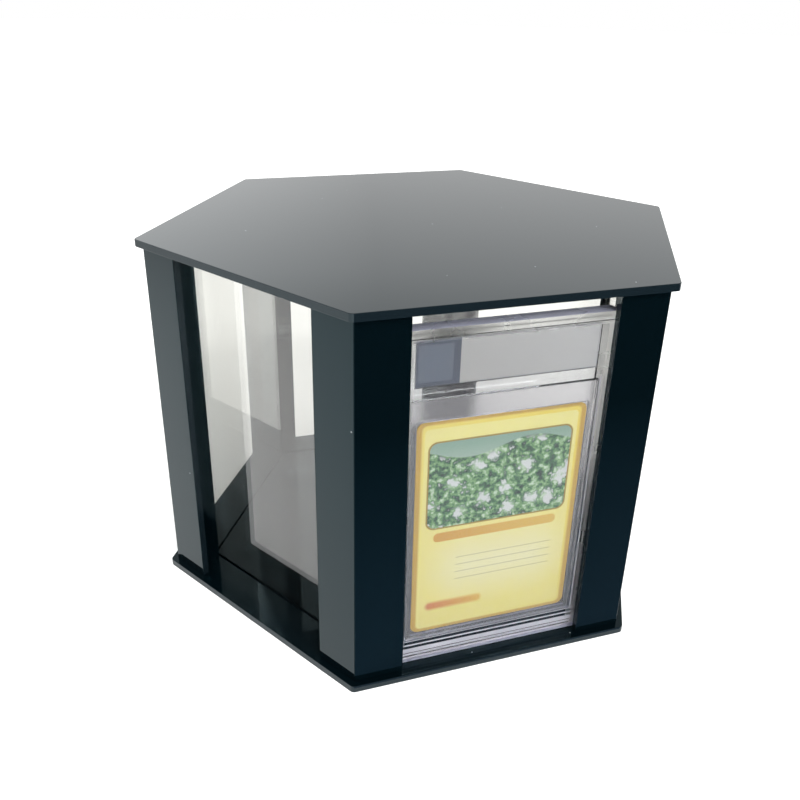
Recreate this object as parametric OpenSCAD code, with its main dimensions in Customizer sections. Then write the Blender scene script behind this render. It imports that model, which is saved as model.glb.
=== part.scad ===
// Six-sided display case for trading cards in sealed holders.
// Front strips and clear panels make an open-topped pocket on each side, under a lift-off lid.
// +Z is up and -Y is the front. The origin is the centre of the base plate's underside.

/* [Sheet] */
// Thickness of the acrylic sheet that the case is cut from
sheet_t = 2.8; // [2:0.1:5]
// Width of a glue joint between two flat faces
glue_gap = 0.05; // [0.02:0.01:0.15]

/* [Plates] */
// Reach of the base and lid past the faces of the front strips
plate_overhang = 2.6; // [1:0.1:12]
// Radius of the corners of the base and lid
plate_corner_r = 2; // [1:0.5:8]
// Gap between the lid and the uprights that it rests on
lid_seat_gap = 0.1; // [0.05:0.05:0.5]
// Play of the locating plate inside the clear panels
locator_play = 0.8; // [0.3:0.1:3]

/* [Pockets] */
// Play at each side of a card holder in its pocket
pocket_side_play = 1.2; // [0.5:0.1:4]
// Play between the front strips and a card holder
pocket_front_play = 0.3; // [0.2:0.1:2]
// Play between a card holder and the clear panel
pocket_back_play = 2.6; // [0.5:0.1:6]
// Free height over a card holder, under the lid
pocket_head_room = 7.1; // [3.5:0.1:30]
// Width of card holder that each front strip covers
strip_lap = 4.9; // [2:0.1:12]
// Distance from a pocket side to the corner of the clear panels
panel_corner_room = 1.95; // [1:0.05:10]

/* [Card] */
// Width of the card
card_w = 63; // [50:0.5:80]
// Height of the card
card_h = 88; // [70:0.5:120]
// Thickness of the card
card_t = 0.35; // [0.25:0.05:0.8]
// Radius of the card's corners
card_corner_r = 3; // [1:0.5:6]
// Play round the card in its frame
card_play = 0.4; // [0.2:0.1:1]

/* [Card frame] */
// Width of the frame's rim at the sides and below the card
frame_rim = 2.2; // [1.5:0.1:5]
// Width of the frame's rim above the card
frame_top_rim = 8; // [2:0.5:20]
// Thickness of the frame's web behind the card
frame_web_t = 0.6; // [0.4:0.1:1.5]
// Thickness of the frame
frame_t = 1.9; // [1.8:0.1:3.2]
// Play round the frame in the card holder
frame_play = 0.2; // [0.1:0.05:0.5]

/* [Label] */
// Width of the label
label_w = 65.5; // [40:0.5:68]
// Height of the label
label_h = 16; // [10:0.5:30]
// Thickness of the label
label_t = 0.5; // [0.3:0.1:1]
// Play round the label in the card holder
label_play = 0.2; // [0.1:0.05:0.5]

/* [Card holder] */
// Thickness of the card holder
holder_t = 7.4; // [6:0.1:12]
// Wall beside the frame
holder_side_wall = 6.7; // [4:0.1:12]
// Wall below the frame
holder_bottom_wall = 9.2; // [4:0.1:16]
// Bar between the frame and the label
holder_bar = 4.45; // [2:0.05:12]
// Wall above the label
holder_top_wall = 4.05; // [3:0.05:12]
// Radius of the card holder's corners
holder_corner_r = 3.5; // [3:0.1:6]
// Width of the step round its front and its back
holder_step_w = 2.9; // [1:0.1:2.9]
// Depth of that step
holder_step_d = 0.8; // [0.3:0.1:1.2]

/* [Hidden] */
FACES = [1 : 6];
SIDES = ["left", "right"];

$fn = 48;
face_angle = 360 / 6;
half_angle = face_angle / 2;

// Card frame and card holder, built outwards from the card
frame_w = card_w + 2 * (card_play + frame_rim);
frame_h = card_h + 2 * card_play + frame_rim + frame_top_rim;
frame_chamber_w = frame_w + 2 * frame_play;
frame_chamber_h = frame_h + 2 * frame_play;
label_chamber_w = label_w + 2 * label_play;
label_chamber_h = label_h + 2 * label_play;
holder_w = frame_chamber_w + 2 * holder_side_wall;
label_chamber_z = holder_bottom_wall + frame_chamber_h + holder_bar;
holder_h = label_chamber_z + label_chamber_h + holder_top_wall;

// Pocket round the card holder, and the two hexagons that follow from it
pocket_w = holder_w + 2 * pocket_side_play;
pocket_d = holder_t + pocket_front_play + pocket_back_play;
panel_side = pocket_w + 2 * (sheet_t + panel_corner_room);
panel_apothem = panel_side / 2 / tan(half_angle);
strip_apothem = panel_apothem + pocket_d + sheet_t;
strip_side = 2 * strip_apothem * tan(half_angle);
window_w = holder_w - 2 * strip_lap;
plate_apothem = strip_apothem + plate_overhang;

// Heights
upright_z = sheet_t + glue_gap;
upright_h = holder_h + pocket_head_room;
lid_z = upright_z + upright_h + lid_seat_gap;
holder_y = -(strip_apothem - sheet_t - pocket_front_play - holder_t / 2);

// A regular hexagon with a flat side to the front
function hexagon(apothem) =
    [for (k = FACES) apothem / cos(half_angle) * [cos(k * face_angle), sin(k * face_angle)]];

// Half the length of a mitred piece on a face whose hexagon has this apothem
function mitred_half(apothem) = apothem * tan(half_angle) - glue_gap / 2 / cos(half_angle);

module rounded_hexagon(apothem, corner_r) {
    centre_r = (apothem - corner_r) / cos(half_angle);
    corners = [for (k = FACES) k * face_angle];
    polygon([
        for (a = corners)
        for (turn = [-half_angle, half_angle])
        centre_r * [cos(a), sin(a)] + corner_r * [cos(a + turn), sin(a + turn)]
    ]);
    for (a = corners)
        translate(centre_r * [cos(a), sin(a)])
            circle(corner_r);
}

module hexagon_plate(apothem, corner_r) {
    linear_extrude(sheet_t)
        rounded_hexagon(apothem, corner_r);
}

// Turns a piece that is drawn on the front face to the face with this number
module on_face(face) {
    rotate([0, 0, (face - 1) * face_angle])
        children();
}

// An upright sheet whose plan is an outline drawn on the front face
module upright(face, outline) {
    on_face(face)
        translate([0, 0, upright_z])
            linear_extrude(upright_h)
                polygon(outline);
}

// A rectangle with round corners, centred in x and standing on z = 0, from y0 to y1
module standing_plate(w, h, corner_r, y0, y1) {
    translate([0, y1, 0])
        rotate([90, 0, 0])
            linear_extrude(y1 - y0)
                rounded_rectangle(w, h, corner_r);
}

module rounded_rectangle(w, h, corner_r) {
    translate([-w / 2, corner_r])
        square([w, h - 2 * corner_r]);
    translate([-w / 2 + corner_r, 0])
        square([w - 2 * corner_r, h]);
    for (x = [-1, 1])
        for (z = [corner_r, h - corner_r])
            translate([x * (w / 2 - corner_r), z])
                circle(corner_r);
}

// Puts a piece of the card holder, drawn about its middle plane, into the front pocket
module in_front_pocket() {
    translate([0, holder_y, upright_z])
        children();
}

module base_plate() {
    color("#15181b")
        hexagon_plate(plate_apothem, plate_corner_r);
}

// Black strip beside a window, mitred where it meets its neighbour at the corner
module front_strip(face, side) {
    s = side == "left" ? -1 : 1;
    back_apothem = strip_apothem - sheet_t;
    color("#1b2024")
        upright(face, [
            [s * mitred_half(strip_apothem), -strip_apothem],
            [s * window_w / 2, -strip_apothem],
            [s * window_w / 2, -back_apothem],
            [s * mitred_half(back_apothem), -back_apothem]
        ]);
}

// Black strip that stands square behind a front strip and guides the holder's edge
module pocket_side(face, side) {
    s = side == "left" ? -1 : 1;
    near_y = -(strip_apothem - sheet_t - glue_gap);
    far_y = -(panel_apothem + glue_gap);
    color("#15181b")
        upright(face, [
            [s * pocket_w / 2, near_y],
            [s * pocket_w / 2, far_y],
            [s * (pocket_w / 2 + sheet_t), far_y],
            [s * (pocket_w / 2 + sheet_t), near_y]
        ]);
}

// Clear panel that closes a pocket at the back, mitred to its neighbours
module clear_panel(face) {
    back_apothem = panel_apothem - sheet_t;
    color("#dfe6e6", 0.35)
        upright(face, [
            [-mitred_half(panel_apothem), -panel_apothem],
            [mitred_half(panel_apothem), -panel_apothem],
            [mitred_half(back_apothem), -back_apothem],
            [-mitred_half(back_apothem), -back_apothem]
        ]);
}

module lid_plate() {
    color("#23272a")
        translate([0, 0, lid_z])
            hexagon_plate(plate_apothem, plate_corner_r);
}

// Plate under the lid that drops inside the clear panels
module lid_locator() {
    color("#23272a")
        translate([0, 0, lid_z - glue_gap - sheet_t])
            hexagon_plate(panel_apothem - sheet_t - locator_play, plate_corner_r);
}

// One half of the card holder, with its outer face to the front and open at the middle plane
module holder_half() {
    inset_w = holder_w - 2 * holder_step_w;
    inset_h = holder_h - 2 * holder_step_w;
    inset_r = holder_corner_r - holder_step_w;
    frame_recess = frame_t / 2 + frame_play / 2;
    label_recess = label_t / 2 + label_play / 2;
    step_y = -(holder_t / 2 - holder_step_d);
    difference() {
        union() {
            standing_plate(holder_w, holder_h, holder_corner_r, step_y, -glue_gap / 2);
            translate([0, 0, holder_step_w])
                standing_plate(inset_w, inset_h, inset_r, -holder_t / 2, step_y);
        }
        translate([-frame_chamber_w / 2, -frame_recess, holder_bottom_wall])
            cube([frame_chamber_w, holder_t, frame_chamber_h]);
        translate([-label_chamber_w / 2, -label_recess, label_chamber_z])
            cube([label_chamber_w, holder_t, label_chamber_h]);
    }
}

module holder_front() {
    color("#dfe3ea", 0.35)
        in_front_pocket()
            holder_half();
}

module holder_back() {
    color("#dfe3ea", 0.35)
        in_front_pocket()
            mirror([0, 1, 0])
                holder_half();
}

// Clear frame with a web behind the card
module card_frame() {
    opening_w = card_w + 2 * card_play;
    opening_h = card_h + 2 * card_play;
    color("#e6e9ee", 0.35)
        in_front_pocket()
            difference() {
                translate([-frame_w / 2, -frame_t / 2, holder_bottom_wall + frame_play])
                    cube([frame_w, frame_t, frame_h]);
                translate([-opening_w / 2, -frame_t / 2 - frame_web_t, card_z() - card_play])
                    cube([opening_w, frame_t, opening_h]);
            }
}

function card_z() = holder_bottom_wall + frame_play + frame_rim + card_play;

module card() {
    back_y = frame_t / 2 - frame_web_t - glue_gap;
    color("#e9c93c")
        in_front_pocket()
            translate([0, 0, card_z()])
                standing_plate(card_w, card_h, card_corner_r, back_y - card_t, back_y);
}

module label() {
    color("#c3c7ca")
        in_front_pocket()
            translate([-label_w / 2, -label_t / 2, label_chamber_z + label_play])
                cube([label_w, label_t, label_h]);
}

base_plate();
for (face = FACES) {
    for (side = SIDES) {
        front_strip(face, side);
        pocket_side(face, side);
    }
    clear_panel(face);
}
lid_plate();
lid_locator();
holder_front();
holder_back();
card_frame();
card();
label();
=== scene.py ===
"""Trading card display case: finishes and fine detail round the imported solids.

+Z is up and -Y is the front. Sizes of the case and the card holder are in millimetres and repeat
those of the solids. Places on the stage are in metres.
"""

import math
from collections import namedtuple

import bmesh
import bpy
from mathutils import Matrix, Vector


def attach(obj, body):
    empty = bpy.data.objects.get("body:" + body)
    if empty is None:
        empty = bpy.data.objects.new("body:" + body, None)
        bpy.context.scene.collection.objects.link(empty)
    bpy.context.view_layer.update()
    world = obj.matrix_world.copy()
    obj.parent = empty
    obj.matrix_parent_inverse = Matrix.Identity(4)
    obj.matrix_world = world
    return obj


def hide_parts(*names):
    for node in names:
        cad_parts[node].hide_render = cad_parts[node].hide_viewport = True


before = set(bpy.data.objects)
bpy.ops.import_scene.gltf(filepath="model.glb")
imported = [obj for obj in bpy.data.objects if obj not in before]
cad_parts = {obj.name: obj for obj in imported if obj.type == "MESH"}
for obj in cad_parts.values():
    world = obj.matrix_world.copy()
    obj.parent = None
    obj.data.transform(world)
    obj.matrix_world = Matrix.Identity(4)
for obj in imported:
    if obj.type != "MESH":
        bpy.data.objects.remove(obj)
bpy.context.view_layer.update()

MM = 0.001
HALF_ANGLE = math.radians(30)

# Sheet and plates
SHEET_T = 2.8
GLUE_GAP = 0.05
PLATE_APOTHEM = 97.02
PLATE_CORNER_R = 2.0
PANEL_APOTHEM = 81.32
STRIP_APOTHEM = 94.42
LOCATOR_PLAY = 0.8
WINDOW_W = 72.2
POCKET_W = 84.4
UPRIGHT_Z = 2.85
UPRIGHT_H = 140.6
LID_Z = 143.55

# Card holder, with its mid-plane at HOLDER_Y. Each half stops at MATING, short of the mid-plane.
HOLDER_W = 82.0
HOLDER_H = 133.5
HOLDER_T = 7.4
HOLDER_CORNER_R = 3.5
HOLDER_Y = -87.62
MATING = GLUE_GAP / 2
STEP_W = 2.9
STEP_D = 0.8
# Heights where the weld across the foot changes from bead to clear line and back
WELD_FOOT = (1.3, 1.9, 2.9, 3.2, 5.2, 6.4, 7.1, 8.4)
# Distances from the middle where the weld down the sides changes in the same way
WELD_SIDE = (34.9, 35.5, 36.5, 36.9, 38.4, 39.6)
# Height where the beads down the sides end
BEAD_TOP = 109.4
# The outer face is hazed beyond this distance from the middle, and above this height
HAZE_FROM_X = 34.6
HAZE_FROM_Z = 129.5

# Flat pieces and hollows of the holder. The foot is the height of the lower edge above the
# holder's own foot, and a chamber's depth counts from the mid-plane.
Flat = namedtuple("Flat", "width height foot depth")
FRAME_CHAMBER = Flat(68.6, 99.4, 9.2, 1.05)
LABEL_CHAMBER = Flat(65.9, 16.4, 113.05, 0.35)
CARD_FRAME = Flat(68.2, 99.0, 9.4, 1.9)
SLEEVE_WEB = 0.6
CARD_OPENING = Flat(63.8, 88.8, 11.6, CARD_FRAME.depth - SLEEVE_WEB)
CARD = Flat(63.0, 88.0, 12.0, 0.35)
LABEL = Flat(65.5, 16.0, 113.25, 0.5)
CARD_CORNER_R = 3.0

# Edge softening, the shortest edge of the moulded pieces that gets it, and the angle from which an
# edge is sharp
SHEET_EDGE = 0.14
HOLDER_EDGE = 0.09
SLEEVE_EDGE = 0.12
CARD_EDGE = 0.05
LABEL_EDGE = 0.06
MOULD_LEAST_LENGTH = 0.4
SHARP_FROM = math.radians(35)


# Shapes

def block(x0, x1, y0, y1, z0, z1):
    """A rectangular bar between these limits."""
    bm = bmesh.new()
    bmesh.ops.create_cube(bm, size=1)
    size = ((x1 - x0) * MM, (y1 - y0) * MM, (z1 - z0) * MM)
    bmesh.ops.scale(bm, vec=size, verts=bm.verts)
    middle = ((x0 + x1) / 2 * MM, (y0 + y1) / 2 * MM, (z0 + z1) / 2 * MM)
    bmesh.ops.translate(bm, vec=middle, verts=bm.verts)
    return bm


def mitre(bm, side):
    """Saws the end of a front piece off at the plane halfway to its neighbour, less half a glue
    joint, and closes the cut."""
    normal = (side * math.cos(HALF_ANGLE), math.sin(HALF_ANGLE), 0)
    point = [-GLUE_GAP / 2 * MM * n for n in normal]
    everything = bm.verts[:] + bm.edges[:] + bm.faces[:]
    cut = bmesh.ops.bisect_plane(bm, geom=everything, plane_co=point, plane_no=normal,
                                 clear_outer=True)
    rim = [e for e in cut["geom_cut"] if isinstance(e, bmesh.types.BMEdge)]
    bmesh.ops.edgeloop_fill(bm, edges=rim)


def once(parts):
    """These parts of a mesh in their order, without repeats."""
    return list(dict.fromkeys(parts))


def pull(bm, faces, rise):
    """Extrudes faces by rise along Z and returns the moved faces."""
    region = faces + once(e for f in faces for e in f.edges)
    made = bmesh.ops.extrude_face_region(bm, geom=region)["geom"]
    moved = [g for g in made if isinstance(g, bmesh.types.BMVert)]
    bmesh.ops.translate(bm, vec=(0, 0, rise * MM), verts=moved)
    return [g for g in made if isinstance(g, bmesh.types.BMFace)]


def soften(bm, width, segments=2, least_length=0.0):
    """Rounds every sharp edge a little, as polishing or a mould does."""
    bmesh.ops.recalc_face_normals(bm, faces=bm.faces)
    sharp = [e for e in bm.edges if len(e.link_faces) == 2
             and e.calc_length() > least_length * MM and e.calc_face_angle(0) > SHARP_FROM]
    bmesh.ops.bevel(bm, geom=sharp, offset=width * MM, offset_type="OFFSET", affect="EDGES",
                    segments=segments, profile=0.5, clamp_overlap=True, material=-1)


def hexagon_sheet(apothem, z):
    """A six-sided plate with round corners and a flat side to the front."""
    bm = bmesh.new()
    bmesh.ops.create_circle(bm, cap_ends=True, segments=6,
                            radius=apothem / math.cos(HALF_ANGLE) * MM)
    bmesh.ops.rotate(bm, matrix=Matrix.Rotation(HALF_ANGLE, 3, "Z"), verts=bm.verts)
    bmesh.ops.translate(bm, vec=(0, 0, z * MM), verts=bm.verts)
    pull(bm, bm.faces[:], SHEET_T)
    corners = [e for e in bm.edges if abs(e.verts[0].co.z - e.verts[1].co.z) > MM]
    bmesh.ops.bevel(bm, geom=corners, offset=PLATE_CORNER_R * math.tan(HALF_ANGLE) * MM,
                    affect="EDGES", offset_type="OFFSET", segments=8, profile=0.5, material=-1)
    soften(bm, SHEET_EDGE)
    return bm


def slab(flat, level, corner_r=0.0):
    """A flat piece on the bench, centred in X, with Y as its height and its underside at this
    level. Returned with its top face."""
    bm = bmesh.new()
    bmesh.ops.create_grid(bm, x_segments=1, y_segments=1, size=0.5)
    bmesh.ops.scale(bm, vec=(flat.width * MM, flat.height * MM, 1), verts=bm.verts)
    middle_y = (flat.foot + flat.height / 2) * MM
    bmesh.ops.translate(bm, vec=(0, middle_y, 0), verts=bm.verts)
    if corner_r:
        bmesh.ops.bevel(bm, geom=bm.verts[:], offset=corner_r * MM, offset_type="OFFSET",
                        affect="VERTICES", segments=8, profile=0.5, material=-1)
    bmesh.ops.translate(bm, vec=(0, 0, level * MM), verts=bm.verts)
    top = pull(bm, bm.faces[:], flat.depth)[0]
    return bm, top


def faces_at(bm, level, x_half=math.inf, y_low=-math.inf, y_high=math.inf):
    """Flat faces at this level whose middle lies inside a rectangle."""
    found = []
    for face in bm.faces:
        middle = face.calc_center_median()
        flat = abs(face.normal.z) > 0.9 and abs(middle.z - level * MM) < 0.01 * MM
        if flat and abs(middle.x) < x_half * MM and y_low * MM < middle.y < y_high * MM:
            found.append(face)
    return found


def score(bm, level, xs, ys):
    """Splits the flat faces at this level along lines of constant X and Y."""
    for axis, places in ((0, xs), (1, ys)):
        for place in places:
            flat = faces_at(bm, level)
            edges = once(e for f in flat for e in f.edges)
            verts = once(v for f in flat for v in f.verts)
            point = [0, 0, 0]
            point[axis] = place * MM
            bmesh.ops.bisect_plane(bm, geom=verts + edges + flat, plane_co=point,
                                   plane_no=(1 - axis, axis, 0))


def sink(bm, level, hollow, rise):
    """Moves the floor of a hollow by rise from the flat face at this level."""
    half, low, high = hollow.width / 2, hollow.foot, hollow.foot + hollow.height
    score(bm, level, (-half, half), (low, high))
    pull(bm, faces_at(bm, level, half, low, high), rise)


def stood(bm):
    """Stands a piece made on the bench up in the front pocket, its top side to the front."""
    bmesh.ops.rotate(bm, matrix=Matrix.Rotation(math.radians(90), 3, "X"), verts=bm.verts)
    bmesh.ops.translate(bm, vec=(0, HOLDER_Y * MM, UPRIGHT_Z * MM), verts=bm.verts)
    return bm


# Materials

def linear(hex_colour):
    """An sRGB hex value as linear red, green, blue and alpha."""
    parts = [int(hex_colour[i:i + 2], 16) / 255 for i in (1, 3, 5)]
    return [p / 12.92 if p <= 0.04045 else ((p + 0.055) / 1.055) ** 2.4 for p in parts] + [1.0]


def add(tree, kind, inputs=(), **settings):
    """Adds a node, sets its properties, and sets or links its inputs. They go by name, or in the
    order of the sockets in use. A node given as an input stands for its first output in use."""
    node = tree.nodes.new("ShaderNode" + kind)
    for name, value in settings.items():
        setattr(node, name, value)
    if isinstance(inputs, dict):
        pairs = [(node.inputs[name], value) for name, value in inputs.items()]
    else:
        pairs = list(zip([socket for socket in node.inputs if socket.enabled], inputs))
    for socket, value in pairs:
        if isinstance(value, bpy.types.Node):
            value = next(output for output in value.outputs if output.enabled)
        if isinstance(value, bpy.types.NodeSocket):
            tree.links.new(value, socket)
        else:
            socket.default_value = value
    return node


def new_material(name):
    """An empty material and its node tree."""
    material = bpy.data.materials.new(name)
    material.use_nodes = True
    material.node_tree.nodes.clear()
    return material, material.node_tree


def close(tree, shader):
    """Links a shader to the material's output."""
    add(tree, "OutputMaterial", [shader])


def dust(tree, place, cell_mm, speck_mm, share):
    """1 in sparse round specks of this size, 0 elsewhere."""
    cells = add(tree, "TexVoronoi", {"Vector": place, "Scale": 1000 / cell_mm, "Randomness": 1.0})
    near = add(tree, "Math", [cells.outputs["Distance"], speck_mm / cell_mm / 2],
               operation="LESS_THAN")
    kept = add(tree, "SeparateColor", [cells.outputs["Color"]])
    chosen = add(tree, "Math", [kept.outputs["Red"], share], operation="LESS_THAN")
    return add(tree, "Math", [near, chosen], operation="MULTIPLY")


# The gloss of the black sheet is a little blue-green.
COOL_GLOSS = "#A5D4E1"
ACRYLIC_IOR = 1.49
POLYSTYRENE_IOR = 1.57
PAPER_IOR = 1.5


def black_acrylic_face():
    """Cast acrylic sheet, black through and through. The cast face is a mirror with a faint long
    ripple, and it picks up a few specks of pale dust."""
    material, tree = new_material("gloss_black_cast_acrylic")
    place = add(tree, "TexCoord").outputs["Object"]
    specks = dust(tree, place, cell_mm=8, speck_mm=0.55, share=0.35)
    colour = add(tree, "Mix", [specks, linear("#02090D"), linear("#9AA0A2")], data_type="RGBA")
    shine = add(tree, "Mix", [specks, 0.035, 0.7])
    # The ripple is about 42 mm long.
    ripple = add(tree, "TexNoise", {"Vector": place, "Scale": 1000 / 42, "Detail": 1.0,
                                    "Roughness": 0.4})
    bump = add(tree, "Bump", {"Height": ripple, "Strength": 0.05, "Distance": 0.25 * MM})
    close(tree, add(tree, "BsdfPrincipled", {
        "Base Color": colour, "Roughness": shine, "IOR": ACRYLIC_IOR,
        "Specular Tint": linear(COOL_GLOSS), "Normal": bump}))
    return material


def black_acrylic_edge():
    """Laser-cut edge of the black sheet. The beam leaves fine stripes across the thickness, which
    blur what the edge reflects."""
    material, tree = new_material("laser_cut_black_acrylic")
    place = add(tree, "TexCoord").outputs["Object"]
    # Real stripes are about 0.2 mm apart; they are drawn 0.5 mm apart so that they show at all.
    drawn_out = add(tree, "Mapping", {"Vector": place, "Scale": (1, 1, 0.05)})
    stripes = add(tree, "TexNoise", {"Vector": drawn_out, "Scale": 1000 / 0.5, "Detail": 1.0})
    bump = add(tree, "Bump", {"Height": stripes, "Strength": 0.12, "Distance": 0.05 * MM})
    shine = add(tree, "MapRange", {"Value": stripes, "To Min": 0.05, "To Max": 0.12})
    close(tree, add(tree, "BsdfPrincipled", {
        "Base Color": linear("#0F181D"), "Roughness": shine, "IOR": ACRYLIC_IOR,
        "Specular Tint": linear("#DCF3FA"), "Normal": bump}))
    return material


def clear_acrylic():
    """Cast clear acrylic sheet. It is colourless and flat, with strong reflections at a low
    angle."""
    material, tree = new_material("clear_cast_acrylic")
    place = add(tree, "TexCoord").outputs["Object"]
    # The ripple is about 60 mm long.
    ripple = add(tree, "TexNoise", {"Vector": place, "Scale": 1000 / 60, "Detail": 1.0})
    bump = add(tree, "Bump", {"Height": ripple, "Strength": 0.04, "Distance": 0.2 * MM})
    close(tree, add(tree, "BsdfPrincipled", {
        "Base Color": linear("#FAFAF7"), "Roughness": 0.01, "IOR": ACRYLIC_IOR,
        "Specular IOR Level": 0.9, "Transmission Weight": 1.0, "Coat Weight": 0.35,
        "Coat Roughness": 0.01, "Normal": bump}))
    return material


def moulded_polystyrene(name, tint, roughness, clearness=1.0):
    """Injection-moulded clear polystyrene. It bends light more than acrylic, so ribs and steps
    draw dark and pale lines. The melt's flow lines make its shine a little uneven."""
    material, tree = new_material(name)
    place = add(tree, "TexCoord").outputs["Object"]
    # The flow lines are about 18 mm apart.
    flow = add(tree, "TexNoise", {"Vector": place, "Scale": 1000 / 18, "Detail": 2.0})
    shine = add(tree, "MapRange", {"Value": flow, "To Min": roughness * 0.5,
                                   "To Max": roughness * 1.5})
    bump = add(tree, "Bump", {"Height": flow, "Strength": 0.06, "Distance": 0.2 * MM})
    close(tree, add(tree, "BsdfPrincipled", {
        "Base Color": linear(tint), "Roughness": shine, "IOR": POLYSTYRENE_IOR,
        "Transmission Weight": clearness, "Normal": bump}))
    return material


# Print on the card and the label

# An area in millimetres from the piece's middle, with the width of its soft edge
Area = namedtuple("Area", "x z half_w half_h corner_r edge")
# Outside the yellow field the card shows an ochre band, which is painted shade where the sleeve's
# rim darkens the card's edge.
YELLOW_FIELD = Area(0, 0, 29.6, 42.7, 2.0, 0.7)
PALE_PANEL = Area(0, 0, 28.6, 41.2, 1.6, 0.4)
PANEL_GLOW = Area(2, -17, 22, 10, 9, 16)
PICTURE_RIM = Area(0, 18.5, 27.2, 17.7, 3.4, 0.3)
PICTURE = Area(0, 18.5, 26.6, 17.1, 3.0, 0.2)
GOLD_BAR = Area(0, -2.8, 24.0, 1.9, 1.8, 0.3)
RULED_PART = Area(4, -17.5, 19, 6.6, 0.4, 0.3)
ORANGE_BAR = Area(-15, -33, 11, 1.6, 1.6, 1.4)
BACK_FIELD = Area(0, 0, 28, 40.5, 1.5, 0.2)
SLATE_BLOCK = Area(-26, 0, 6.0, 6.4, 0.6, 0.3)
LABEL_FIELD = Area(0, 0, 32.4, 7.6, 0.3, 0.2)
# The slate end of the label stops here.
SLATE_TO_X = -17.5
# Half the distance between the ruled lines and half their thickness, and the same for the lattice,
# measured along X
RULE_HALF_PITCH = 1.6
RULE_HALF_W = 0.22
LATTICE_HALF_PITCH = 2.0
LATTICE_HALF_W = 0.25
# The hill's ridge is a wave round this height, and the sky fades between these heights.
RIDGE_Z = 31.5
RIDGE_RISE = 2.6
RIDGE_WAVE = 0.13
SKY_FADE = (22, 34)
BUSH_GREENS = ((0.36, "#1C3A2C"), (0.46, "#3C7048"), (0.55, "#7FB06E"), (0.66, "#D6E8CC"))
# Reach of a stone from the middle of its cell, and how far the bushes eat into its outline
STONE_REACH = 0.34
STONE_RAGGED = 1.5


def printed_place(tree, flat):
    """Place on a piece that stands in the front pocket, in millimetres from its middle: the
    vector, and its parts."""
    place = add(tree, "TexCoord").outputs["Object"]
    middle_z = UPRIGHT_Z + flat.foot + flat.height / 2
    scaled = add(tree, "Mapping", {"Vector": place, "Location": (0, 0, -middle_z),
                                   "Scale": (1000, 1000, 1000)})
    return scaled, add(tree, "SeparateXYZ", [scaled])


def inside(tree, parts, area):
    """1 inside an area with round corners, 0 outside."""
    over = []
    for axis, middle, half in (("X", area.x, area.half_w), ("Z", area.z, area.half_h)):
        away = add(tree, "Math", [parts.outputs[axis], middle], operation="SUBTRACT")
        away = add(tree, "Math", [away], operation="ABSOLUTE")
        away = add(tree, "Math", [away, half - area.corner_r], operation="SUBTRACT")
        over.append(add(tree, "Math", [away, 0.0], operation="MAXIMUM"))
    reach = add(tree, "VectorMath", [add(tree, "CombineXYZ", over)], operation="LENGTH")
    left = add(tree, "Math", [area.corner_r + area.edge / 2, reach], operation="SUBTRACT")
    return add(tree, "Math", [left, area.edge], operation="DIVIDE", use_clamp=True)


def fade(tree, value, start, end, first, last):
    """A colour that runs from first to last as a value goes from start to end."""
    share = add(tree, "MapRange", [value, start, end])
    return add(tree, "Mix", [share, linear(first), linear(last)], data_type="RGBA")


def overprint(tree, ground, *layers):
    """Lays each layer's colour over the ground in turn, where its mask is 1."""
    for mask, colour in layers:
        ground = add(tree, "Mix", [mask, ground, colour], data_type="RGBA")
    return ground


def landscape(tree, place, parts):
    """A pale sky over a green hill with bushes and pale stones."""
    height = parts.outputs["Z"]
    bushes = add(tree, "TexNoise", {"Vector": place, "Scale": 0.42, "Detail": 4.0,
                                    "Roughness": 0.62})
    greens = add(tree, "ValToRGB", [bushes])
    ramp = greens.color_ramp
    for index, (position, colour) in enumerate(BUSH_GREENS):
        stop = ramp.elements[index] if index < 2 else ramp.elements.new(position)
        stop.position = position
        stop.color = linear(colour)
    wave = add(tree, "Math", [parts.outputs["X"], RIDGE_WAVE], operation="MULTIPLY")
    wave = add(tree, "Math", [wave], operation="SINE")
    ridge = add(tree, "Math", [wave, RIDGE_RISE, RIDGE_Z], operation="MULTIPLY_ADD")
    below_ridge = add(tree, "Math", [ridge, height], operation="SUBTRACT")
    on_hill = add(tree, "Math", [below_ridge, 2.0], operation="MULTIPLY", use_clamp=True)
    down_hill = add(tree, "Math", [below_ridge, 0.5], operation="MULTIPLY", use_clamp=True)
    stones = add(tree, "TexVoronoi", {"Vector": place, "Scale": 0.12, "Randomness": 1.0})
    ragged = add(tree, "Math", [bushes, 0.5], operation="SUBTRACT")
    reach = add(tree, "Math", [ragged, STONE_RAGGED, stones.outputs["Distance"]],
                operation="MULTIPLY_ADD")
    stone = add(tree, "Math", [STONE_REACH, reach], operation="SUBTRACT")
    stone = add(tree, "Math", [stone, 6.0], operation="MULTIPLY", use_clamp=True)
    stone = add(tree, "Math", [stone, down_hill], operation="MULTIPLY")
    stone = add(tree, "Math", [stone, 0.9], operation="MULTIPLY")
    sky = fade(tree, height, *SKY_FADE, "#C4D4C2", "#8FB09A")
    return overprint(tree, sky, (on_hill, greens), (stone, linear("#EEF2EC")))


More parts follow.
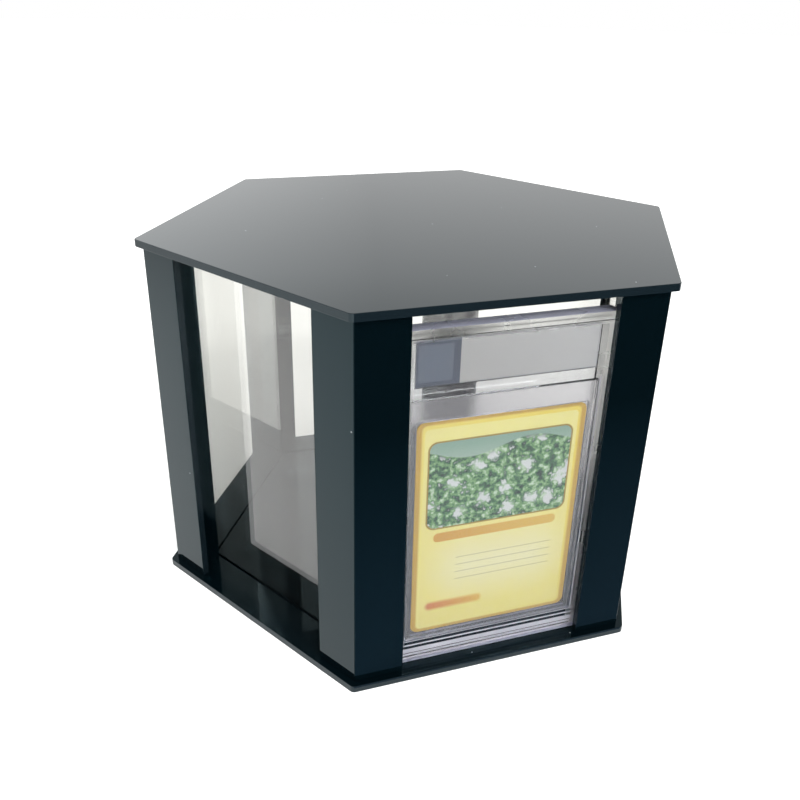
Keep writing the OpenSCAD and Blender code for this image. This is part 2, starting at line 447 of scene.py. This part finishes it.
def card_front(tree, place, parts):
    """A yellow border round a pale panel, with the landscape, two plain bars and ruled lines. The
    ochre ground at the card's rim is painted shade from the sleeve's rim.
    """
    across, height = parts.outputs["X"], parts.outputs["Z"]
    slant = add(tree, "Math", [across, height], operation="ADD")
    yellow = fade(tree, slant, -60, 60, "#FBF294", "#F8E25C")
    panel = fade(tree, height, -42, 38, "#FBF08E", "#FAF298")
    panel = overprint(tree, panel, (inside(tree, parts, PANEL_GLOW), linear("#FCF8C0")))
    grain = add(tree, "TexNoise", {"Vector": place, "Scale": 0.35, "Detail": 3.0})
    panel = add(tree, "Mix", [0.16, panel, grain.outputs["Color"]], data_type="RGBA",
                blend_type="SOFT_LIGHT")
    rows = add(tree, "Math", [height, RULE_HALF_PITCH], operation="PINGPONG")
    rule = add(tree, "Math", [RULE_HALF_W, rows], operation="SUBTRACT")
    rule = add(tree, "Math", [rule, 6.0], operation="MULTIPLY", use_clamp=True)
    rule = add(tree, "Math", [rule, inside(tree, parts, RULED_PART)], operation="MULTIPLY")
    rule = add(tree, "Math", [rule, 0.55], operation="MULTIPLY")
    return overprint(
        # The ochre ground outside the yellow field is painted shade where the sleeve's rim darkens
        # the card's edge.
        tree, linear("#D6AE44"),
        (inside(tree, parts, YELLOW_FIELD), yellow),
        (inside(tree, parts, PALE_PANEL), panel),
        (inside(tree, parts, PICTURE_RIM), linear("#A98B2B")),
        (inside(tree, parts, PICTURE), landscape(tree, place, parts)),
        (inside(tree, parts, GOLD_BAR), fade(tree, across, -24, 24, "#E0A945", "#EBC65A")),
        (rule, linear("#8F8455")),
        (inside(tree, parts, ORANGE_BAR), fade(tree, across, -26, -4, "#DB8146", "#EFC350")))


def card_back(tree, parts):
    """A blue field with a fine slanting lattice, in a pale border."""
    lines = []
    for operation in ("ADD", "SUBTRACT"):
        slant = add(tree, "Math", [parts.outputs["X"], parts.outputs["Z"]], operation=operation)
        lines.append(add(tree, "Math", [slant, LATTICE_HALF_PITCH], operation="PINGPONG"))
    nearest = add(tree, "Math", lines, operation="MINIMUM")
    line = add(tree, "Math", [nearest, LATTICE_HALF_W], operation="LESS_THAN")
    field = overprint(tree, linear("#2C4A74"), (line, linear("#8298B4")))
    return overprint(tree, linear("#E4E2D8"), (inside(tree, parts, BACK_FIELD), field))


def printed_card():
    """Coated card stock with a plain printed face and back. The varnish gives a soft shine."""
    material, tree = new_material("varnished_printed_card")
    place, parts = printed_place(tree, CARD)
    turned = add(tree, "SeparateXYZ", [add(tree, "NewGeometry").outputs["Normal"]])
    faces_front = add(tree, "Math", [turned.outputs["Y"], 0.5], operation="LESS_THAN")
    colour = overprint(tree, card_back(tree, parts), (faces_front, card_front(tree, place, parts)))
    fibre = add(tree, "TexNoise", {"Vector": place, "Scale": 4.0, "Detail": 2.0})
    bump = add(tree, "Bump", {"Height": fibre, "Strength": 0.06, "Distance": 0.03 * MM})
    close(tree, add(tree, "BsdfPrincipled", {
        "Base Color": colour, "Roughness": 0.42, "IOR": PAPER_IOR, "Coat Weight": 0.25,
        "Coat Roughness": 0.2, "Normal": bump}))
    return material


def printed_label():
    """Silver-inked paper label with a slate block at one end, left without words. The metal ink
    shines softly."""
    material, tree = new_material("silver_ink_label_paper")
    parts = printed_place(tree, LABEL)[1]
    across = parts.outputs["X"]
    silver = fade(tree, across, -33, 33, "#AEAEA6", "#C2C3BD")
    slate = overprint(tree, linear("#434E5B"),
                      (inside(tree, parts, SLATE_BLOCK), linear("#5C6773")))
    slate_end = add(tree, "Math", [across, SLATE_TO_X], operation="LESS_THAN")
    rim = add(tree, "Math", [1.0, inside(tree, parts, LABEL_FIELD)], operation="SUBTRACT")
    rim = add(tree, "Math", [rim, 0.4], operation="MULTIPLY")
    colour = overprint(tree, silver, (slate_end, slate), (rim, linear("#6F747C")))
    close(tree, add(tree, "BsdfPrincipled", {
        "Base Color": colour, "Roughness": 0.4, "IOR": PAPER_IOR, "Metallic": 0.25}))
    return material


def solvent_weld():
    """Solvent-welded foot of a clear sheet. The joint has no air in it, so the black sheet below
    shows through as a dark line."""
    material, tree = new_material("solvent_weld_on_black")
    close(tree, add(tree, "BsdfPrincipled", {
        "Base Color": linear("#060C10"), "Roughness": 0.5, "Specular IOR Level": 0.0}))
    return material


def fused_joint():
    """Joint face of two clear pieces that are welded together. No air is left in it, so light goes
    straight on, and only the thin skin of the joint takes a little of it."""
    material, tree = new_material("fused_clear_joint")
    close(tree, add(tree, "BsdfPrincipled", {
        "Base Color": linear("#20262A"), "Roughness": 0.0, "IOR": 1.0,
        "Transmission Weight": 1.0, "Alpha": 0.09}))
    return material


def whitened_weld():
    """Ultrasonic weld bead in polystyrene. The melt froze full of tiny bubbles, so it scatters
    light and looks pale lilac-grey through the clear front."""
    material, tree = new_material("whitened_ultrasonic_weld")
    place = add(tree, "TexCoord").outputs["Object"]
    # The bead is uneven about every 6 mm along its run.
    flow = add(tree, "TexNoise", {"Vector": place, "Scale": 1000 / 6, "Detail": 2.0})
    colour = add(tree, "Mix", [flow, linear("#E9E8F1"), linear("#F9F9FC")], data_type="RGBA")
    close(tree, add(tree, "BsdfPrincipled", {
        "Base Color": colour, "Roughness": 0.5, "IOR": 1.1, "Transmission Weight": 0.1}))
    return material


# Finishes of the pieces

FUSED = fused_joint()
FROSTED = moulded_polystyrene("frosted_polystyrene_edge", "#D0D3EA", 0.3, 0.35)
# Flat faces first, then cut edges
SHEET_FINISHES = (black_acrylic_face(), black_acrylic_edge())
# Clear faces first, then the foot, then the mitred ends
PANE_FINISHES = (clear_acrylic(), solvent_weld(), FUSED)
HOLDER_FINISHES = {
    "clear": moulded_polystyrene("clear_moulded_polystyrene", "#EEEEF2", 0.03),
    "fused": FUSED,
    "frosted": FROSTED,
    "weld": whitened_weld(),
    "hazed": moulded_polystyrene("hazed_polystyrene_rim", "#FDFDFE", 0.3)}
# Clear faces first, then the rim under the card
SLEEVE_FINISHES = (moulded_polystyrene("clear_sleeve_plastic", "#F3F2F0", 0.12), FROSTED)
CARD_FINISHES = (printed_card(),)
LABEL_FINISHES = (printed_label(),)


# Pieces of the case and the card holder

def new_object(name, bm, materials):
    """Turns a finished bmesh into an object with these materials."""
    mesh = bpy.data.meshes.new(name)
    bm.to_mesh(mesh)
    bm.free()
    for material in materials:
        mesh.materials.append(material)
    piece = bpy.data.objects.new(name, mesh)
    bpy.context.scene.collection.objects.link(piece)
    return piece


def finish_piece(name, bm, finishes, body, node, choose=None):
    """Puts a piece in place of its solid. Where it has several finishes, choose gives the number
    of a face's finish."""
    bmesh.ops.recalc_face_normals(bm, faces=bm.faces)
    if choose:
        for face in bm.faces:
            face.material_index = int(choose(face))
    piece = new_object(name, bm, finishes)
    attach(piece, body)
    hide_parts(node)


def make_plates():
    """Base plate, lid plate and the locating plate under the lid."""
    locator_apothem = PANEL_APOTHEM - SHEET_T - LOCATOR_PLAY
    locator_z = LID_Z - GLUE_GAP - SHEET_T
    for name, node, apothem, z, body, slot in (
            ("base_sheet", "base_plate", PLATE_APOTHEM, 0, "case", "black_acrylic"),
            ("lid_sheet", "lid_plate", PLATE_APOTHEM, LID_Z, "lid", "black_acrylic_lid"),
            ("locator_sheet", "lid_locator", locator_apothem, locator_z, "lid",
             "black_acrylic_lid")):
        finish_piece(name, hexagon_sheet(apothem, z), SHEET_FINISHES, body, node,
                     lambda face: abs(face.normal.z) < 0.9)


def front_strip(side):
    """A front strip of the front face, from the window to the mitred corner."""
    low_x, high_x = sorted((side * WINDOW_W / 2, side * STRIP_APOTHEM))
    strip = block(low_x, high_x, -STRIP_APOTHEM, -STRIP_APOTHEM + SHEET_T,
                  UPRIGHT_Z, UPRIGHT_Z + UPRIGHT_H)
    mitre(strip, side)
    return strip


def pocket_side(side):
    """A pocket side of the front face, square behind the front strip."""
    low_x, high_x = sorted((side * POCKET_W / 2, side * (POCKET_W / 2 + SHEET_T)))
    return block(low_x, high_x, -STRIP_APOTHEM + SHEET_T + GLUE_GAP, -PANEL_APOTHEM - GLUE_GAP,
                 UPRIGHT_Z, UPRIGHT_Z + UPRIGHT_H)


def clear_pane():
    """The clear panel at the back of the front pocket, mitred at both ends."""
    pane = block(-PANEL_APOTHEM, PANEL_APOTHEM, -PANEL_APOTHEM, -PANEL_APOTHEM + SHEET_T,
                 UPRIGHT_Z, UPRIGHT_Z + UPRIGHT_H)
    mitre(pane, -1)
    mitre(pane, 1)
    return pane


def make_uprights():
    """Front strips, pocket sides and clear panels of the six pockets."""
    for number in range(1, 7):
        turn = Matrix.Rotation(math.radians(60) * (number - 1), 3, "Z")
        outward = turn @ Vector((0, -1, 0))
        # Name, piece, finishes, slot, node, and the finish of a face
        uprights = []
        for side, word in ((-1, "left"), (1, "right")):
            uprights += [
                (f"strip_{number}_{word}", front_strip(side), SHEET_FINISHES, "black_acrylic",
                 f"front_strip_{number}_{word}",
                 lambda face: abs(face.normal.dot(outward)) < 0.9),
                (f"guide_{number}_{word}", pocket_side(side), SHEET_FINISHES, "black_acrylic",
                 f"pocket_side_{number}_{word}",
                 lambda face: abs(face.normal.z) > 0.5)]
        uprights.append(
            (f"pane_{number}", clear_pane(), PANE_FINISHES, "clear_acrylic",
             f"clear_panel_{number}",
             lambda face: 1 if face.normal.z < -0.05 else
             2 if abs(face.normal.z) < 0.1 and abs(face.normal.dot(outward)) < 0.6 else 0))
        for name, bm, finishes, slot, node, choose in uprights:
            soften(bm, SHEET_EDGE)
            bmesh.ops.rotate(bm, matrix=turn, verts=bm.verts)
            finish_piece(name, bm, finishes, "case", node, choose)


def joint_finish(middle):
    """Finish of a part of the joint between the halves. Beads and clear lines take turns across
    the foot and down the sides, and the rest is clear fused plastic."""
    if middle.y > BEAD_TOP * MM:
        return "fused"
    if middle.y < FRAME_CHAMBER.foot * MM:
        changes = sum(place * MM < middle.y for place in WELD_FOOT)
    else:
        changes = sum(place * MM < abs(middle.x) for place in WELD_SIDE) + 1
    return "weld" if changes % 2 == 0 else "fused"


def holder_finish(face):
    """Finish of a face of a holder half that lies on the bench."""
    middle = face.calc_center_median()
    beside = abs(middle.x)
    at_rim = beside > (HOLDER_W / 2 - 1) * MM or not MM < middle.y < (HOLDER_H - 1) * MM
    beyond = beside > HAZE_FROM_X * MM or middle.y > HAZE_FROM_Z * MM
    if abs(middle.z - MATING * MM) < 0.001 * MM:
        return joint_finish(middle)
    if abs(face.normal.z) < 0.1 and at_rim:
        return "frosted"
    if middle.z > (HOLDER_T / 2 - STEP_D - 0.01) * MM and beyond:
        return "hazed"
    return "clear"


def holder_half():
    """One moulded half of the card holder on the bench: stepped outside, with a chamber for the
    frame and one for the label on the mating side."""
    lower_step = Flat(HOLDER_W, HOLDER_H, 0, HOLDER_T / 2 - STEP_D - MATING)
    bm, outer = slab(lower_step, MATING, HOLDER_CORNER_R)
    bmesh.ops.recalc_face_normals(bm, faces=bm.faces)
    bmesh.ops.inset_region(bm, faces=[outer], thickness=STEP_W * MM, use_even_offset=True,
                           use_boundary=True)
    pull(bm, [outer], STEP_D)
    bmesh.ops.recalc_face_normals(bm, faces=bm.faces)
    for chamber in (FRAME_CHAMBER, LABEL_CHAMBER):
        sink(bm, MATING, chamber, chamber.depth - MATING)
    weld_lines = [side * place for side in (-1, 1) for place in WELD_SIDE]
    score(bm, MATING, weld_lines, WELD_FOOT + (BEAD_TOP,))
    score(bm, HOLDER_T / 2, (-HAZE_FROM_X, HAZE_FROM_X), (HAZE_FROM_Z,))
    order = list(HOLDER_FINISHES)
    for face in bm.faces:
        face.material_index = order.index(holder_finish(face))
    bmesh.ops.dissolve_limit(bm, angle_limit=math.radians(1), verts=bm.verts, edges=bm.edges,
                             delimit={"MATERIAL"})
    soften(bm, HOLDER_EDGE, least_length=MOULD_LEAST_LENGTH)
    return bm


def mirrored(bm):
    """Turns a holder half into the other half: mirrors it in the mid-plane and drops the first."""
    first = bm.verts[:] + bm.edges[:] + bm.faces[:]
    bmesh.ops.mirror(bm, geom=first, axis="Z", merge_dist=-1)
    bmesh.ops.delete(bm, geom=[v for v in bm.verts if v.co.z > 0], context="VERTS")
    return bm


def card_sleeve():
    """The frame round the card: a plate with an opening sunk down to a thin web."""
    top_level = CARD_FRAME.depth / 2
    bm = slab(CARD_FRAME, -top_level)[0]
    sink(bm, top_level, CARD_OPENING, -CARD_OPENING.depth)
    bmesh.ops.dissolve_limit(bm, angle_limit=math.radians(1), verts=bm.verts, edges=bm.edges)
    soften(bm, SLEEVE_EDGE, least_length=MOULD_LEAST_LENGTH)
    return bm


def make_holder():
    """The two halves of the holder, the sleeve in it, the card and the label."""
    finish_piece("holder_front_shell", stood(holder_half()), HOLDER_FINISHES.values(),
                 "card_holder", "holder_front")
    finish_piece("holder_back_shell", stood(mirrored(holder_half())), HOLDER_FINISHES.values(),
                 "card_holder", "holder_back")

    rim_top = (UPRIGHT_Z + CARD_OPENING.foot - 0.3) * MM
    finish_piece("sleeve", stood(card_sleeve()), SLEEVE_FINISHES, "card_holder",
                 "card_frame", lambda face: face.calc_center_median().z < rim_top)

    card = slab(CARD, -CARD_FRAME.depth / 2 + SLEEVE_WEB + GLUE_GAP, CARD_CORNER_R)[0]
    soften(card, CARD_EDGE, segments=1)
    finish_piece("printed_card", stood(card), CARD_FINISHES, "card_holder", "card")

    label = slab(LABEL, -LABEL.depth / 2)[0]
    soften(label, LABEL_EDGE, segments=1)
    finish_piece("printed_label", stood(label), LABEL_FINISHES, "card_holder",
                 "label")


make_plates()
make_uprights()
make_holder()


# Stage, light and camera

FLOOR_R = 6
# The paper is lifted towards white by the first amount within the first distance from the case,
# and by the second beyond the second. Through clear plastic it is lifted by a share of that.
LIFT_DISTANCES = (0.25, 1.0)
LIFT_AMOUNTS = (0.3, 0.8)
LIFT_THROUGH_PLASTIC = 0.25

# The dark card's size, the middle of its edge next to the case, and where its grey fades in Y
DARK_CARD_SIZE = (1.0, 0.9)
DARK_CARD_EDGE = (0.44, -0.0985, 0.0005)
DARK_CARD_FADE = (-0.105, -0.28)

# The room's plain glow, and the lit screen that is added to it. The screen fades in as a direction's
# part upwards falls through SCREEN_UP and its part to the back rises through SCREEN_BACK. As its
# part to the right falls through SCREEN_RIGHT, the strength rises through SCREEN_STRENGTH.
ROOM_GLOW = 0.5
SCREEN_UP = (0.62, 0.30)
SCREEN_BACK = (-0.1, 0.4)
SCREEN_RIGHT = (0.28, 0.0)
SCREEN_STRENGTH = (0.5, 1.02)

# Name, place, aim, size, power in watts and colour
SOFT_BOXES = (
    ("overhead_box", (0.1, 0.1, 1.3), (0, 0, 0), 0.9, 3.0, "#FFFFFF"),
    ("front_box", (0.2, -1.1, 0.9), (0, -0.09, 0.08), 0.8, 24.5, "#FFFFFF"),
    ("left_box", (-0.36, 0.18, 0.42), (-0.16, -0.02, 0), 0.25, 1.0, "#FBFDFF"))

LENS = 38.107
SENSOR_W = 36
CAMERA_PLACE = (-0.11637, -0.31957, 0.23132)
CAMERA_RIGHT = (0.94946, -0.31318, 0.02103)
CAMERA_DOWN = (-0.11937, -0.42222, -0.89860)
CAMERA_FORWARD = (0.29030, 0.85068, -0.43826)


def make_floor():
    """White paper. Direct sight of it is lifted to pure white, and the case's shadow stays."""
    material, tree = new_material("white_backdrop_paper")
    path = add(tree, "LightPath").outputs
    seen = add(tree, "Math", [path["Is Transmission Ray"], LIFT_THROUGH_PLASTIC,
                              path["Is Camera Ray"]], operation="MULTIPLY_ADD")
    away = add(tree, "VectorMath", [add(tree, "TexCoord").outputs["Object"]], operation="LENGTH")
    white = add(tree, "MapRange", [away, *LIFT_DISTANCES, *LIFT_AMOUNTS])
    lift = add(tree, "Math", [seen, white], operation="MULTIPLY")
    close(tree, add(tree, "BsdfPrincipled", {
        "Base Color": linear("#F4F4F3"), "Roughness": 0.9, "Specular IOR Level": 0.1,
        "Emission Color": (1, 1, 1, 1), "Emission Strength": lift}))
    bm = bmesh.new()
    bmesh.ops.create_circle(bm, cap_ends=True, segments=96, radius=FLOOR_R)
    new_object("floor", bm, [material])


def make_painted_shade_card():
    """A dark card on the table in front of the case, which only the glossy front strips see. It is
    painted shade in their reflections, standing in for the darker table in front.
    """
    material, tree = new_material("painted_shade_card")
    place = add(tree, "SeparateXYZ", [add(tree, "TexCoord").outputs["Object"]])
    # The grey is painted shade in the reflections, lighter next to the case and darker away from it.
    shade = fade(tree, place.outputs["Y"], *DARK_CARD_FADE, "#677D93", "#1F2326")
    close(tree, add(tree, "BsdfPrincipled", {
        "Base Color": shade, "Roughness": 0.95, "Specular IOR Level": 0.0}))
    bm = bmesh.new()
    bmesh.ops.create_grid(bm, x_segments=1, y_segments=1, size=0.5)
    bmesh.ops.scale(bm, vec=(*DARK_CARD_SIZE, 1), verts=bm.verts)
    x, edge_y, z = DARK_CARD_EDGE
    middle = (x, edge_y - DARK_CARD_SIZE[1] / 2, z)
    bmesh.ops.translate(bm, vec=middle, verts=bm.verts)
    card = new_object("dark_card", bm, [material])
    card.visible_camera = False
    card.visible_diffuse = False
    card.visible_transmission = False
    card.visible_shadow = False


def make_room():
    """A white room with a lit screen low behind the case. Seen directly, or through clear plastic
    and not in a mirror, the room is plain white."""
    world = bpy.data.worlds.new("white_room")
    bpy.context.scene.world = world
    world.use_nodes = True
    tree = world.node_tree
    tree.nodes.clear()
    towards = add(tree, "SeparateXYZ", [add(tree, "TexCoord").outputs["Generated"]])
    low = add(tree, "MapRange", [towards.outputs["Z"], *SCREEN_UP])
    behind = add(tree, "MapRange", [towards.outputs["Y"], *SCREEN_BACK])
    to_left = add(tree, "MapRange", [towards.outputs["X"], *SCREEN_RIGHT, *SCREEN_STRENGTH])
    screen = add(tree, "Math", [low, behind], operation="MULTIPLY")
    glow = add(tree, "Math", [screen, to_left, ROOM_GLOW], operation="MULTIPLY_ADD")
    path = add(tree, "LightPath").outputs
    unmirrored = add(tree, "Math", [1.0, path["Glossy Depth"]], operation="SUBTRACT",
                     use_clamp=True)
    through = add(tree, "Math", [path["Is Transmission Ray"], unmirrored], operation="MULTIPLY")
    plain = add(tree, "Math", [path["Is Camera Ray"], through], operation="MAXIMUM")
    strength = add(tree, "Mix", [plain, glow, 1.0])
    background = add(tree, "Background", [(1, 1, 1, 1), strength])
    add(tree, "OutputWorld", [background])


def make_soft_boxes():
    """Soft boxes overhead, in front and at the left. The gloss mirrors the room, not the boxes."""
    for name, place, aim, size, power, colour in SOFT_BOXES:
        lamp = bpy.data.lights.new(name, "AREA")
        lamp.shape = "SQUARE"
        lamp.size = size
        lamp.energy = power
        lamp.color = linear(colour)[:3]
        box = bpy.data.objects.new(name, lamp)
        bpy.context.scene.collection.objects.link(box)
        box.location = place
        towards = Vector(aim) - box.location
        box.rotation_euler = towards.to_track_quat("-Z", "Y").to_euler()
        box.visible_glossy = False


def make_camera():
    """The photograph's viewpoint, found from the straight edges of the case."""
    data = bpy.data.cameras.new("camera")
    data.sensor_fit = "HORIZONTAL"
    data.sensor_width = SENSOR_W
    data.lens = LENS
    data.clip_start = 0.01
    camera = bpy.data.objects.new("camera", data)
    bpy.context.scene.collection.objects.link(camera)
    rows = [(right, -down, -forward, place) for right, down, forward, place in
            zip(CAMERA_RIGHT, CAMERA_DOWN, CAMERA_FORWARD, CAMERA_PLACE)]
    camera.matrix_world = Matrix(rows + [(0, 0, 0, 1)])
    bpy.context.scene.camera = camera


make_floor()
make_painted_shade_card()
make_room()
make_soft_boxes()
make_camera()
bpy.context.scene.view_settings.view_transform = "Standard"
